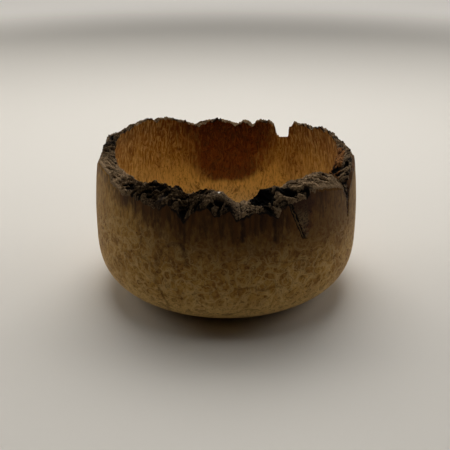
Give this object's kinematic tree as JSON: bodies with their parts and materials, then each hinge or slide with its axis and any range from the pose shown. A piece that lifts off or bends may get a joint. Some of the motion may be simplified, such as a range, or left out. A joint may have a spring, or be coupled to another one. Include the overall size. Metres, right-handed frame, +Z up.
{
  "type": "natural edge wooden bowl",
  "caption": "Deep round bowl turned from burl wood, with its rough bark left on as an uneven natural rim.",
  "frame": {"origin": "middle of the foot, on the surface that the bowl stands on", "axes": "+Z up along the turning axis; -Y is the front, the side with the lowest dip in the rim"},
  "size_m": [0.18, 0.18, 0.1051],
  "materials": {
    "burl_wood": "burl figure with small eyes, oiled, satin",
    "bark": "rough weathered bark, matt, pitted and furrowed",
    "ingrown_bark": "dark ingrown bark turned flush, matt"
  },
  "bodies": {
    "root": {"turned_bowl": "burl_wood", "bark_front_right": "bark", "bark_right": "bark", "bark_right_rear": "bark", "bark_notch_right": "bark", "bark_notch_left": "bark", "bark_back_lobe": "bark", "bark_back": "bark", "bark_back_left": "bark", "bark_left": "bark", "bark_front_left": "bark", "bark_front": "bark", "ingrown_bark_front_right": "ingrown_bark", "ingrown_bark_front_left": "ingrown_bark", "ingrown_bark_right": "ingrown_bark"}
  },
  "joints": []
}
